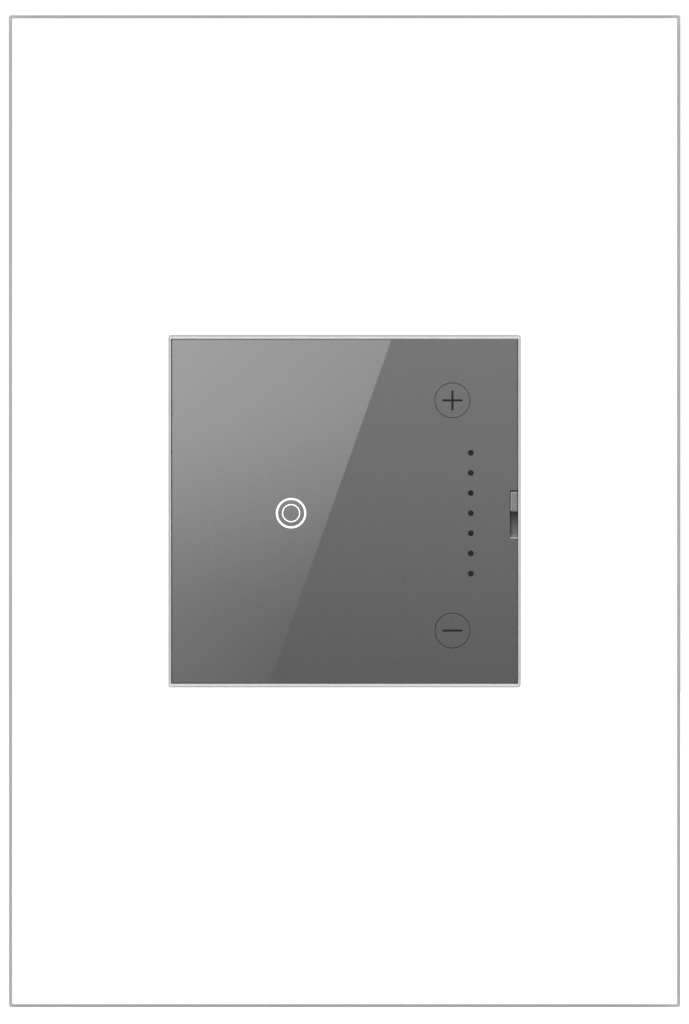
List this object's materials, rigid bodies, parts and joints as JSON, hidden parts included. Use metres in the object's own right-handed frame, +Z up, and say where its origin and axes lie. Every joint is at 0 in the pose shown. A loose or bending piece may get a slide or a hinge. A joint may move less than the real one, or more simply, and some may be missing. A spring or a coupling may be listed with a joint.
{
  "type": "dimmer slide switch",
  "caption": "Wall-mounted touch dimmer: square touch face with level lights and a small sliding air-gap tab, trim, screwless wall plate, mounting frame, wired rear body.",
  "frame": {"origin": "centre of the device on the wall's surface: the middle of the mounting frame's back face, midway between the two box screws", "axes": "+X to the right as seen from the front, +Y into the wall, away from the user, +Z up"},
  "size_m": [0.088, 0.0612, 0.13],
  "materials": {
    "plate_white": "smooth satin-gloss moulded",
    "frame_grey": "fine moulded grain",
    "trim_silver": "satin anodised",
    "panel_grey": "smooth, fine metallic flake under clear coat",
    "ring_white": "printed inlay",
    "mark_dark": "printed inlay",
    "slider_grey": "satin moulded",
    "smoke_lens": "smoked translucent",
    "clear_lens": "frosted clear",
    "film_amber": "polyimide film",
    "copper": "bare or enamelled copper",
    "chassis_grey": "fine moulded grain",
    "housing_black": "fine moulded grain",
    "base_black": "glass-filled moulding",
    "nylon": "natural nylon",
    "board_green": "solder mask over glass-epoxy",
    "led_cream": "moulded lens",
    "chip_black": "moulded epoxy",
    "connector_ivory": "moulded",
    "header_gold": "gold-plated pins",
    "sink_aluminium": "bare rolled",
    "pad_blue": "silicone pad",
    "core_yellow": "powder-coated iron powder core",
    "capacitor_yellow": "potted box",
    "can_black": "shrink sleeve over an aluminium can",
    "varistor_blue": "epoxy-coated disc",
    "fuse_ceramic": "unglazed tube",
    "zinc_steel": "zinc plated",
    "spring_steel": "bright spring steel",
    "screw_dark": "black oxide",
    "grommet_rubber": "matt",
    "lead_black": "extruded insulation",
    "lead_red": "extruded insulation",
    "lead_white": "extruded insulation",
    "lead_green": "extruded insulation",
    "label_silver": "blank metallised label"
  },
  "bodies": {
    "device": {"mounting_frame": "frame_grey", "wall_plate": "plate_white", "box_screws": "zinc_steel", "trim_bezel": "trim_silver", "touch_panel": "panel_grey", "target_rings": "ring_white", "plus_mark": "mark_dark", "minus_mark": "mark_dark", "sensor_film": "film_amber", "touch_electrodes": "copper", "front_chassis": "chassis_grey", "level_light_pipes": "smoke_lens", "target_light_guide": "clear_lens", "light_shield": "chassis_grey", "touch_board": "board_green", "level_leds": "led_cream", "target_leds": "led_cream", "touch_controller": "chip_black", "film_connector": "connector_ivory", "board_header": "header_gold", "detent_spring": "spring_steel", "lever_pivot_pin": "spring_steel", "fixed_contacts": "copper", "contact_base": "base_black", "heat_sink": "sink_aluminium", "thermal_pad": "pad_blue", "triac": "chip_black", "triac_screw": "zinc_steel", "power_board": "board_green", "choke_core": "core_yellow", "choke_winding": "copper", "film_capacitor": "capacitor_yellow", "bulk_capacitor": "can_black", "varistor": "varistor_blue", "thermal_fuse": "fuse_ceramic", "rear_housing": "housing_black", "housing_screws": "screw_dark", "frame_clips": "spring_steel", "lead_grommets": "grommet_rubber", "line_lead": "lead_black", "load_lead": "lead_red", "neutral_lead": "lead_white", "ground_lead": "lead_green", "lead_ends": "copper", "rating_label": "label_silver"},
    "air_gap_slider": {"air_gap_slider": "slider_grey"},
    "air_gap_lever": {"air_gap_lever": "nylon", "bridge_contact": "copper"}
  },
  "joints": [
    {"name": "air_gap_slide", "type": "slide", "parent": "device", "child": "air_gap_slider", "axis": [0, 0, -1], "range_m": [0, 0.00311], "deforming": ["detent_spring"]},
    {"name": "air_gap_lever_hinge", "type": "hinge", "parent": "device", "child": "air_gap_lever", "pos_m": [0.01243, 0, 0], "axis": [0, 1, 0], "range_deg": [0, 30]}
  ],
  "couplings": [
    {"joint": "air_gap_lever_hinge", "follows": "air_gap_slide", "rad_per_m": 168.59}
  ]
}
